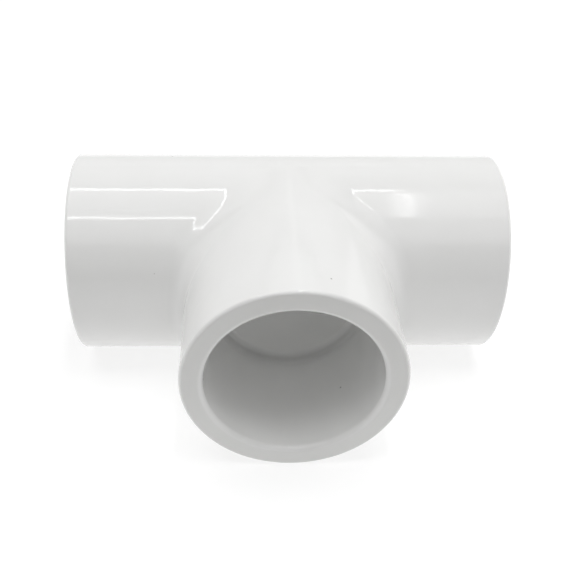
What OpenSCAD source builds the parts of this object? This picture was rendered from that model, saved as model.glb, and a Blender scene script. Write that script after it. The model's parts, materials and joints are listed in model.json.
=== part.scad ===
// Equal tee for 25 mm pressure pipe: three solvent-weld sockets on one
// rigid plastic moulding. The run lies along X and the branch points to -Y.
// The origin is where the run and branch axes cross. Millimetres, +Z up.

/* [Barrels] */
// Outside diameter of the run barrel
body_od = 31.8; // [31:0.1:36]
// Distance from the crossing of the axes to each end face
centre_to_end = 33.4; // [33:0.1:42]
// Radius of the rounding on the outside edge of each end face
end_round = 0.6; // [0.2:0.1:1]
// Radius of the inside corner between run and branch, at its sides
side_fillet = 2.8; // [1.5:0.1:3.5]
// Radius the same corner opens out to, towards the crown and the underside
crown_fillet = 9; // [5:0.5:10]

/* [Sockets] */
// Bore of the sockets, for a pipe of 25 mm outside diameter
socket_bore = 25.1; // [24.8:0.1:25.6]
// Depth of a socket from its end face to the pipe stop
socket_depth = 19.2; // [16:0.1:20]
// Radius of the lead-in rounding at each socket mouth
lip_round = 0.9; // [0.3:0.1:1.2]

/* [Waterway] */
// Bore of the waterways between the pipe stops
waterway_bore = 21; // [18:0.1:22]

/* [Hidden] */
$fn = 96;

// The branch is a hair slimmer than the run, so the two barrels cross
// cleanly instead of touching tangentially along their crown.
crossing_relief = 0.04;

body_r = body_od / 2;
branch_r = body_r - crossing_relief / 2;
socket_r = socket_bore / 2;
waterway_r = waterway_bore / 2;
branch_waterway_r = waterway_r - crossing_relief / 2;
stop_at = centre_to_end - socket_depth;

// The fillet is a rolling ball that touches both barrels and swells as it
// nears the crown. Each row of the fillet is one place of the ball, at an
// angle up from the XY plane.
row_step = 6;
row_limit = 84;
// The ball swells by this much more right at the crown, so no crease shows
crown_ease = 20;
ease_power = 30;
arc_steps = 6;
// How far the edges of the fillet sink into the barrels
sink = 0.1;
// Share of the barrel radius where the buried spine of the fillet lies
spine_share = 0.93;
ring_size = arc_steps + 2;
row_angles = [for (t = [-row_limit : row_step : row_limit]) t];

pvc_white = [0.93, 0.93, 0.92];

// Radius of the ball at one place.
function ball_r(t) =
    side_fillet + (crown_fillet - side_fillet) * pow(sin(t), 2) + crown_ease * pow(sin(t), ease_power);

// Directions from the ball's centre to its contacts with run and branch.
function to_run(t) = [0, cos(t), -sin(t)];
function to_branch(t) = [-cos(t), 0, -sin(t)];

// Direction part way round the ball from the run contact to the branch one.
function part_way(t, share) =
    let (turn = acos(sin(t) * sin(t)))
    (sin((1 - share) * turn) * to_run(t) + sin(share * turn) * to_branch(t)) / sin(turn);

// One row of the fillet: the buried spine point, then the arc of the ball.
function fillet_row(t) =
    let (
        outward = [cos(t), -cos(t), sin(t)],
        centre = (body_r + ball_r(t)) * outward,
        spine = spine_share * body_r * outward
    )
    concat(
        [spine],
        [for (k = [0 : arc_steps])
            centre + (ball_r(t) + (k == 0 || k == arc_steps ? sink : 0)) * part_way(t, k / arc_steps)]
    );

// Half profile of a plain bar with rounded outer edge: radius against height.
module bar_profile(radius, height) {
    difference() {
        square([radius, height]);
        translate([radius - end_round, height - end_round])
            square(end_round);
    }
    translate([radius - end_round, height - end_round])
        intersection() {
            circle(end_round);
            square(end_round);
        }
}

// A bar from the crossing to one end face, standing along +Z.
module barrel(radius) {
    rotate_extrude()
        bar_profile(radius, centre_to_end);
}

// The cut for one socket with its lead-in lip, standing along +Z.
module socket_cut() {
    translate([0, 0, stop_at])
        cylinder(r = socket_r, h = socket_depth + 1);
    rotate_extrude()
        translate([socket_r, centre_to_end - lip_round])
            difference() {
                square([lip_round, lip_round + 1]);
                translate([lip_round, 0])
                    circle(lip_round);
            }
}

// The solid that fills the inside corner between run and branch on +X.
module corner_fillet() {
    rows = len(row_angles);
    last = (rows - 1) * ring_size;
    polyhedron(
        points = [for (t = row_angles) each fillet_row(t)],
        faces = concat(
            [[for (k = [ring_size - 1 : -1 : 0]) k]],
            [[for (k = [0 : ring_size - 1]) last + k]],
            [for (i = [0 : rows - 2], k = [0 : ring_size - 1])
                let (here = i * ring_size, next = (k + 1) % ring_size)
                each [
                    [here + k, here + ring_size + next, here + ring_size + k],
                    [here + k, here + next, here + ring_size + next]
                ]]
        )
    );
}

module tee_body() {
    color(pvc_white)
    difference() {
        union() {
            corner_fillet();
            mirror([1, 0, 0])
                corner_fillet();
            rotate([0, 90, 0])
                barrel(body_r);
            rotate([0, -90, 0])
                barrel(body_r);
            rotate([90, 0, 0])
                barrel(branch_r);
        }
        rotate([0, 90, 0])
            socket_cut();
        rotate([0, -90, 0])
            socket_cut();
        rotate([90, 0, 0])
            socket_cut();
        rotate([0, 90, 0])
            cylinder(r = waterway_r, h = 2 * stop_at + 1, center = true);
        rotate([90, 0, 0])
            cylinder(r = branch_waterway_r, h = stop_at + 0.5);
    }
}

tee_body();
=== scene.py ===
import json
import math

import bpy
import numpy as np
from mathutils import Matrix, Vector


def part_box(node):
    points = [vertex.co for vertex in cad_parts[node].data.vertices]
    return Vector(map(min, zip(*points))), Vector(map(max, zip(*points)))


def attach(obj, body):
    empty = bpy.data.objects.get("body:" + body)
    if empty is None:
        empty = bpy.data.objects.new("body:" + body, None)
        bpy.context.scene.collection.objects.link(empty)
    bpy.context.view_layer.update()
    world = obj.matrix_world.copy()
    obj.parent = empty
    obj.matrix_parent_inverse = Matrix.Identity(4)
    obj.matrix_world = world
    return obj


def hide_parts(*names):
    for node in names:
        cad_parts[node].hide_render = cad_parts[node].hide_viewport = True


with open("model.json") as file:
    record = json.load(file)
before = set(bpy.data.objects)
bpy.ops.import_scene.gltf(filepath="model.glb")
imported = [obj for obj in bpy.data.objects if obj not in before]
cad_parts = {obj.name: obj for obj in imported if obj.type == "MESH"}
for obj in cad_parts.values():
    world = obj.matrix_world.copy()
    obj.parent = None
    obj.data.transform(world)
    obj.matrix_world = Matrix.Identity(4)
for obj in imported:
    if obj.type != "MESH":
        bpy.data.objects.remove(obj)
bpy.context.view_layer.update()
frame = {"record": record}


# ---------------------------------------------------------------- sizes
MM = 0.001
low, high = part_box("tee_body")
mounts = {m["name"]: m for m in frame["record"]["mounts"]}

# Barrels, sockets and waterways
BODY_R = high.z
REACH = high.x
SOCKET_R = mounts["branch_socket"]["dims"]["r_mm"] * MM
WATER_R = mounts["run_waterway"]["dims"]["r_mm"] * MM
STOP_AT = mounts["run_waterway"]["dims"]["length_mm"] * MM / 2
END_ROUND = 0.6 * MM
LIP_ROUND = REACH - STOP_AT - mounts["branch_socket"]["dims"]["length_mm"] * MM
OD = 2 * BODY_R

# The fillet between run and branch: its radius at the sides, towards the crown, and what it gains right there
SIDE_FILLET = 2.8 * MM
CROWN_FILLET = 9 * MM
CROWN_EASE = 20 * MM
EASE_POWER = 30

# Finer shapes on the inside: the pipe stop, the crossing of the waterways, and the taper of a socket
STOP_EDGE = 0.9 * MM
STOP_CORNER = 0.7 * MM
CROSS_EDGE = 0.5 * MM
SOCKET_DRAFT = 0.12 * MM

# Turn from one lengthwise line of the mesh to the next
STEP_DEG = 1.5


# ---------------------------------------------------------------- the body's mesh
def arc(centre, radius, start, end, count):
    """Points and normals of an arc in the (along, out) plane of a barrel, with angles from its axis."""
    made = []
    for k in range(count + 1):
        a = math.radians(start + (end - start) * k / count)
        n = (math.cos(a), math.sin(a))
        made.append(((centre[0] + radius * n[0], centre[1] + radius * n[1]), n))
    return made


def line(a, b, normal, count):
    """Points strictly between a and b."""
    return [
        ((a[0] + (b[0] - a[0]) * k / count, a[1] + (b[1] - a[1]) * k / count), normal)
        for k in range(1, count)
    ]


def barrel_profile():
    """From the outside, just before the end rounding, round the mouth and down the socket to the waterway."""
    root_r = SOCKET_R - SOCKET_DRAFT
    slope = math.atan2(SOCKET_DRAFT, REACH - LIP_ROUND - STOP_AT - STOP_CORNER)
    wall_n = (math.sin(slope), -math.cos(slope))
    p = arc((REACH - END_ROUND, BODY_R - END_ROUND), END_ROUND, 90, 0, 8)
    p += line((REACH, BODY_R - END_ROUND), (REACH, SOCKET_R + LIP_ROUND), (1, 0), 4)
    p += arc((REACH - LIP_ROUND, SOCKET_R + LIP_ROUND), LIP_ROUND, 0, -90, 10)
    p += line((REACH - LIP_ROUND, SOCKET_R), (STOP_AT + STOP_CORNER, root_r), wall_n, 14)
    corner = arc((STOP_AT + STOP_CORNER, root_r - STOP_CORNER), STOP_CORNER, 90, 180, 6)
    p += [(at, (-n[0], -n[1])) for at, n in corner]
    p += line((STOP_AT, root_r - STOP_CORNER), (STOP_AT, WATER_R + STOP_EDGE), (1, 0), 3)
    p += arc((STOP_AT - STOP_EDGE, WATER_R + STOP_EDGE), STOP_EDGE, 0, -90, 6)
    return p


PROFILE = barrel_profile()


def run_point(side, t, at, n):
    return (
        (side * at[0], -at[1] * math.cos(t), at[1] * math.sin(t)),
        (side * n[0], -n[1] * math.cos(t), n[1] * math.sin(t)),
    )


def branch_point(side, t, at, n):
    return (
        (side * at[1] * math.cos(t), -at[0], at[1] * math.sin(t)),
        (side * n[1] * math.cos(t), -n[0], n[1] * math.sin(t)),
    )


def barrel_half(point, side, t, out_from, in_to):
    """One line of a barrel: out along its outer wall, round the mouth, and back in to the crossing."""
    out = line((out_from, BODY_R), (REACH - END_ROUND, BODY_R), (0, 1), 20)
    out = [((out_from, BODY_R), (0, 1))] + out
    back = line((STOP_AT - STOP_EDGE, WATER_R), (in_to, WATER_R), (0, -1), 6)
    back = back + [((in_to, WATER_R), (0, -1))]
    return [point(side, t, at, n) for at, n in out + PROFILE + back]


def fillet_r(t):
    """Radius of the outside fillet: tight at the sides of the crossing, open near its crown."""
    opened = (CROWN_FILLET - SIDE_FILLET) * math.sin(t) ** 2
    return SIDE_FILLET + opened + CROWN_EASE * math.sin(t) ** EASE_POWER


def cross_edge_r(t):
    """Radius of the rounding where the waterways cross: the same all the way round."""
    return CROSS_EDGE


def on_ball(side, t, wall_r, ball_r, s):
    """A point on the ball that touches both walls at angle t, and its direction from the ball's centre."""
    radius = ball_r(t)
    reach = wall_r + radius
    centre = np.array((side * reach * math.cos(t), -reach * math.cos(t), reach * math.sin(t)))
    to_run = np.array((0, math.cos(t), -math.sin(t)))
    to_branch = np.array((-side * math.cos(t), 0, -math.sin(t)))
    turn = math.acos(min(1, math.sin(t) ** 2))
    if turn < 1e-4:
        d = np.array((0, 0, -math.copysign(1, t)))
    else:
        d = (math.sin((1 - s) * turn) * to_run + math.sin(s * turn) * to_branch) / math.sin(turn)
    return centre + radius * d, d


def crossing_arc(side, t, wall_r, ball_r, count, flip):
    """The rounded corner between run and branch, as a ball that touches both walls rolls round it."""
    made = []
    small = 1e-4

    def at(turn, share):
        return on_ball(side, turn, wall_r, ball_r, share)[0]

    for k in range(count + 1):
        s = k / count
        p, d = on_ball(side, t, wall_r, ball_r, s)
        # Between its contacts a ball that swells leaves a surface that isn't square to its own radius.
        if 0 < k < count and math.cos(t) > 0.02:
            n = np.cross(at(t + small, s) - at(t - small, s), at(t, s + small) - at(t, s - small))
            n /= np.linalg.norm(n)
            d = n if n @ d > 0 else -n
        made.append((tuple(p), tuple(d if flip else -d)))
    return made


def front_loop(side, t):
    """A closed line over one side of the front half: the run, the inside, the branch and the fillet."""
    outer = (BODY_R + fillet_r(t)) * math.cos(t)
    inner = (WATER_R + CROSS_EDGE) * math.cos(t)
    run = barrel_half(run_point, side, t, outer, inner)
    inside = crossing_arc(side, t, WATER_R, cross_edge_r, 5, True)
    branch = barrel_half(branch_point, side, t, outer, inner)[::-1]
    outside = crossing_arc(side, t, BODY_R, fillet_r, 14, False)[::-1]
    return run[:-1] + inside + branch[1:-1] + outside[:-1]


def back_loop(t):
    """A closed line over the back half of the run."""
    left = barrel_half(run_point, -1, t, 0.0, 0.0)
    right = barrel_half(run_point, 1, t, 0.0, 0.0)[::-1]
    return left[:-1] + right[:-1]


def tee_mesh():
    """The whole body as one closed mesh. Its flat end faces take the second material, a rougher copy whose
    darker colour is painted shade.
    """
    points, normals, index = [], [], {}

    def number(p, n):
        key = tuple(round(c / 2e-7) for c in p)
        if key not in index:
            index[key] = len(points)
            points.append(p)
            normals.append(np.zeros(3))
        i = index[key]
        normals[i] += np.array(n)
        return i

    faces = []

    def skin(loops, flip):
        rows = [[number(p, n) for p, n in loop] for loop in loops]
        for a, b in zip(rows[:-1], rows[1:]):
            for k in range(len(a)):
                j = (k + 1) % len(a)
                quad = [a[k], a[j], b[j], b[k]]
                kept = [v for i, v in enumerate(quad) if v != quad[i - 1]]
                if len(set(kept)) > 2:
                    faces.append(kept[::-1] if flip else kept)

    front = [math.radians(v) for v in np.linspace(-90, 90, round(180 / STEP_DEG) + 1)]
    back = [math.radians(v) for v in np.linspace(90, 270, round(180 / STEP_DEG) + 1)]
    skin([front_loop(-1, t) for t in front], True)
    skin([front_loop(1, t) for t in front], False)
    skin([back_loop(t) for t in back], True)
    mesh = bpy.data.meshes.new("tee_shell")
    mesh.from_pydata(points, [], faces)
    mesh.validate()
    mesh.update()
    mesh.polygons.foreach_set("use_smooth", [True] * len(mesh.polygons))
    flat_at = REACH - 0.05 * MM
    # The end faces get the darker copy: their rougher finish is real, their darker colour is painted shade.
    for face in mesh.polygons:
        if abs(face.center.x) > flat_at or -face.center.y > flat_at:
            face.material_index = 1
    mesh.normals_split_custom_set_from_vertices([tuple(n / np.linalg.norm(n)) for n in normals])
    return mesh


# ---------------------------------------------------------------- material
SPECK_SCALE = 150
SPECK_COLOUR = (0.45, 0.45, 0.43, 1)
WAVE_HEIGHT = 0.026 * MM
PEEL_HEIGHT = 0.003 * MM


def pvc_material(name, dark, light, rough_from, rough_to):
    """Moulded white plastic: a faint mottle, sparse dark specks, and a surface that waves a little."""
    mat = bpy.data.materials.new(name)
    mat.use_nodes = True
    nodes, links = mat.node_tree.nodes, mat.node_tree.links
    nodes.clear()
    out = nodes.new("ShaderNodeOutputMaterial")
    bsdf = nodes.new("ShaderNodeBsdfPrincipled")
    links.new(bsdf.outputs["BSDF"], out.inputs["Surface"])
    bsdf.inputs["IOR"].default_value = 1.53
    coords = nodes.new("ShaderNodeTexCoord")

    def noise(scale, detail):
        n = nodes.new("ShaderNodeTexNoise")
        n.inputs["Scale"].default_value = scale
        n.inputs["Detail"].default_value = detail
        n.inputs["Roughness"].default_value = 0.5
        links.new(coords.outputs["Object"], n.inputs["Vector"])
        return n.outputs["Fac"]

    def ramp(source, stops):
        r = nodes.new("ShaderNodeValToRGB")
        for element, (at, colour) in zip(r.color_ramp.elements, stops):
            element.position, element.color = at, colour
        links.new(source, r.inputs["Fac"])
        return r.outputs["Color"]

    def mapped(source, a, b):
        m = nodes.new("ShaderNodeMapRange")
        m.inputs["From Min"].default_value = 0.3
        m.inputs["From Max"].default_value = 0.7
        m.inputs["To Min"].default_value = a
        m.inputs["To Max"].default_value = b
        links.new(source, m.inputs["Value"])
        return m.outputs["Result"]

    spots = nodes.new("ShaderNodeTexVoronoi")
    spots.inputs["Scale"].default_value = SPECK_SCALE
    links.new(coords.outputs["Object"], spots.inputs["Vector"])
    speck = ramp(spots.outputs["Distance"], [(0.016, SPECK_COLOUR), (0.026, (1, 1, 1, 1))])
    mixed = nodes.new("ShaderNodeMix")
    mixed.data_type = "RGBA"
    mixed.blend_type = "MULTIPLY"
    mixed.inputs["Factor"].default_value = 1.0
    links.new(ramp(noise(90, 3), [(0.3, dark), (0.7, light)]), mixed.inputs[6])
    links.new(speck, mixed.inputs[7])
    links.new(mixed.outputs[2], bsdf.inputs["Base Color"])
    links.new(mapped(noise(320, 5), rough_from, rough_to), bsdf.inputs["Roughness"])

    waves = nodes.new("ShaderNodeBump")
    waves.inputs["Strength"].default_value = 1.0
    waves.inputs["Distance"].default_value = WAVE_HEIGHT
    links.new(noise(260, 2), waves.inputs["Height"])
    peel = nodes.new("ShaderNodeBump")
    peel.inputs["Strength"].default_value = 1.0
    peel.inputs["Distance"].default_value = PEEL_HEIGHT
    links.new(noise(1500, 2), peel.inputs["Height"])
    links.new(waves.outputs["Normal"], peel.inputs["Normal"])
    links.new(peel.outputs["Normal"], bsdf.inputs["Normal"])
    return mat


tee = bpy.data.objects.new("tee_shell", tee_mesh())
bpy.context.scene.collection.objects.link(tee)
GLOSS = ((0.825, 0.825, 0.815, 1), (0.845, 0.845, 0.837, 1), 0.07, 0.11)
# The end faces: a rougher finish, and a darker colour that is painted shade where they face the dark open
# front.
END_FACE_PAINTED_SHADE = ((0.755, 0.755, 0.74, 1), (0.775, 0.775, 0.762, 1), 0.3, 0.4)
tee.data.materials.append(pvc_material("pvc_gloss", *GLOSS))
tee.data.materials.append(pvc_material("pvc_end_face_painted_shade", *END_FACE_PAINTED_SHADE))
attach(tee, "root")
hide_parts("tee_body")


# ---------------------------------------------------------------- floor and light
# The floor's glow, the little that is left of it far in front, and where in front it starts and stops to fade
FLOOR_GLOW = 0.62
FRONT_GLOW = 0.2
FADE_FROM = -1.75 * OD
FADE_TO = -3.6 * OD
# How far inside the tee's outline the glow is gone, as a painted shadow under the tee, and where it is full
# again
UNDER_DARK = -0.50 * OD
UNDER_FULL = -0.33 * OD


def floor_material():
    """A white sheet that glows a little as painted light: less in front of the tee, and not at all under it,
    where the missing glow is a painted shadow.
    """
    mat = bpy.data.materials.new("floor_white")
    mat.use_nodes = True
    nodes, links = mat.node_tree.nodes, mat.node_tree.links
    bsdf = nodes["Principled BSDF"]
    bsdf.inputs["Base Color"].default_value = (0.45, 0.45, 0.45, 1)
    bsdf.inputs["Roughness"].default_value = 0.9
    bsdf.inputs["Specular IOR Level"].default_value = 0.0
    bsdf.inputs["Emission Color"].default_value = (1, 1, 1, 1)
    coords = nodes.new("ShaderNodeTexCoord")
    split = nodes.new("ShaderNodeSeparateXYZ")
    fade = nodes.new("ShaderNodeMapRange")
    fade.interpolation_type = "SMOOTHSTEP"
    fade.inputs["From Min"].default_value = FADE_TO
    fade.inputs["From Max"].default_value = FADE_FROM
    fade.inputs["To Min"].default_value = FRONT_GLOW
    fade.inputs["To Max"].default_value = FLOOR_GLOW
    links.new(coords.outputs["Object"], split.inputs["Vector"])
    links.new(split.outputs["Y"], fade.inputs["Value"])

    def calc(operation, a, b):
        node = nodes.new("ShaderNodeMath")
        node.operation = operation
        for socket, value in zip(node.inputs, (a, b)):
            if isinstance(value, float):
                socket.default_value = value
            else:
                links.new(value, socket)
        return node.outputs["Value"]

    along = calc("ABSOLUTE", split.outputs["X"], 0.0)
    across = calc("ABSOLUTE", split.outputs["Y"], 0.0)
    off_run = calc("MAXIMUM", calc("SUBTRACT", along, float(REACH)), calc("SUBTRACT", across, float(BODY_R)))
    ahead = calc("MULTIPLY", split.outputs["Y"], -1.0)
    past_mouth = calc("SUBTRACT", ahead, float(REACH))
    off_branch = calc("MAXIMUM", calc("SUBTRACT", along, float(BODY_R)), past_mouth)
    off_branch = calc("MAXIMUM", off_branch, calc("MULTIPLY", ahead, -1.0))
    # Painted shadow: the floor's glow fades out inside the tee's outline.
    under = nodes.new("ShaderNodeMapRange")
    under.interpolation_type = "SMOOTHSTEP"
    under.inputs["From Min"].default_value = UNDER_DARK
    under.inputs["From Max"].default_value = UNDER_FULL
    links.new(calc("MINIMUM", off_run, off_branch), under.inputs["Value"])
    glow = calc("MULTIPLY", fade.outputs["Result"], under.outputs["Result"])
    links.new(glow, bsdf.inputs["Emission Strength"])
    return mat


def make_floor():
    half = 40 * OD
    mesh = bpy.data.meshes.new("floor")
    z = low.z
    corners = [(-half, -half, z), (half, -half, z), (half, half, z), (-half, half, z)]
    mesh.from_pydata(corners, [], [(0, 1, 2, 3)])
    floor = bpy.data.objects.new("floor", mesh)
    bpy.context.scene.collection.objects.link(floor)
    mesh.materials.append(floor_material())


make_floor()

# The light tent: thin strips round two openings in its roof, with panels and a plain ceiling above them.
# Places are on the roof, as shares of its height over the crossing.
ROOF = 16 * OD
# Where the back wall and the side walls stand, and where the side walls stop in front
BACK = 1.5
SIDE = 1.0
FRONT = -0.6
# Width of the strips, and how bright they are
EDGE = 0.042
GLOW = 7.5


def area_light(name, place, tilt, turn, width, depth, radiance):
    """A light of one plain rectangle, equally bright all over. Untilted, it shines straight down."""
    data = bpy.data.lights.new(name, "AREA")
    data.shape = "RECTANGLE"
    data.size, data.size_y = width, depth
    data.energy = radiance * math.pi * data.size * data.size_y
    lamp = bpy.data.objects.new(name, data)
    lamp.location = place
    lamp.rotation_euler = (tilt, 0, turn)
    bpy.context.scene.collection.objects.link(lamp)


def roof_light(name, x_from, x_to, y_from, y_to, radiance, lift=1.0):
    """A downward light that fills one rectangle of the roof."""
    place = ((x_from + x_to) / 2 * ROOF, (y_from + y_to) / 2 * ROOF, ROOF * lift)
    area_light(name, place, 0, 0, (x_to - x_from) * ROOF, (y_to - y_from) * ROOF, radiance)


def roof_strip(name, start, end, radiance):
    """A thin straight light on the roof, from one place to another."""
    place = ((start[0] + end[0]) / 2 * ROOF, (start[1] + end[1]) / 2 * ROOF, ROOF)
    turn = math.atan2(end[1] - start[1], end[0] - start[0])
    area_light(name, place, 0, turn, math.dist(start, end) * ROOF, EDGE * ROOF, radiance)


roof_strip("strip_left_back", (-0.36, 0.312), (0.02, 0.312), GLOW)
roof_strip("strip_left_front", (-0.36, -0.346), (0.02, -0.346), GLOW)
roof_strip("strip_left_end_a", (-0.58, 0.0), (-0.36, 0.312), GLOW)
roof_strip("strip_left_end_b", (-0.58, 0.0), (-0.36, -0.346), 1.3 * GLOW)
roof_strip("strip_right_back", (0.12, 0.299), (0.228, 0.299), GLOW)
roof_light("panel_middle", -0.45, 0.48, -0.345, 0.31, 0.8, 1.01)
roof_light("panel_centre", 0.055, 0.105, -0.33, 0.30, 13.0)
roof_light("panel_right_edge", 0.228, 0.243, -0.31, 0.22, 7.5, 1.005)
roof_light("panel_right_a", 0.235, 0.32, -0.31, 0.22, 2.9, 1.01)
roof_light("panel_right_b", 0.32, 0.40, -0.31, 0.22, 2.4, 1.01)
roof_light("panel_right_c", 0.40, 0.48, -0.31, 0.22, 1.5, 1.01)
roof_light("ceiling", -0.75, 0.75, -1.2, BACK, 0.70, 1.02)
roof_light("ceiling_front", -0.75, 0.75, -1.2, -0.4, 0.2, 1.03)


def wall_light(name, x, y, turn, width, radiance):
    """An upright light that stands on the floor and faces the tee's side of the tent."""
    place = (x * ROOF, y * ROOF, low.z + ROOF / 2)
    area_light(name, place, math.radians(90), math.radians(turn), width * ROOF, ROOF, radiance)


wall_light("wall_back", 0, BACK, 180, 2 * SIDE, 0.57)
wall_light("wall_left", -SIDE, (BACK + FRONT) / 2, 270, BACK - FRONT, 0.65)
wall_light("wall_right", SIDE, (BACK + FRONT) / 2, 90, BACK - FRONT, 0.95)

world = bpy.data.worlds.new("studio")
bpy.context.scene.world = world
world.use_nodes = True
world.node_tree.nodes["Background"].inputs["Color"].default_value = (1, 1, 1, 1)
world.node_tree.nodes["Background"].inputs["Strength"].default_value = 0.05

bpy.context.scene.view_settings.view_transform = "Standard"

# ---------------------------------------------------------------- camera
camera = bpy.data.objects.new("camera", bpy.data.cameras.new("camera"))
bpy.context.scene.collection.objects.link(camera)
bpy.context.scene.camera = camera
camera.data.sensor_width = 36
camera.data.lens = 49.97
camera.data.shift_x = 20 / 576
camera.data.shift_y = 60 / 576
camera.data.clip_start = 0.001
# It stands in front of the branch and above it, turned, tilted down and rolled a little.
away, rise, aside = 4.262 * OD, math.radians(33.224), -0.2218 * OD
turn, tilt, roll = math.radians(-2.358), math.radians(-40.0922), math.radians(-1.2872)
camera.matrix_world = (
    Matrix.Translation((aside, -away * math.cos(rise), away * math.sin(rise)))
    @ Matrix.Rotation(turn, 4, "Z")
    @ Matrix.Rotation(tilt, 4, "X")
    @ Matrix.Rotation(roll, 4, "Y")
    @ Matrix.Rotation(math.radians(90), 4, "X")
)

bpy.context.view_layer.update()
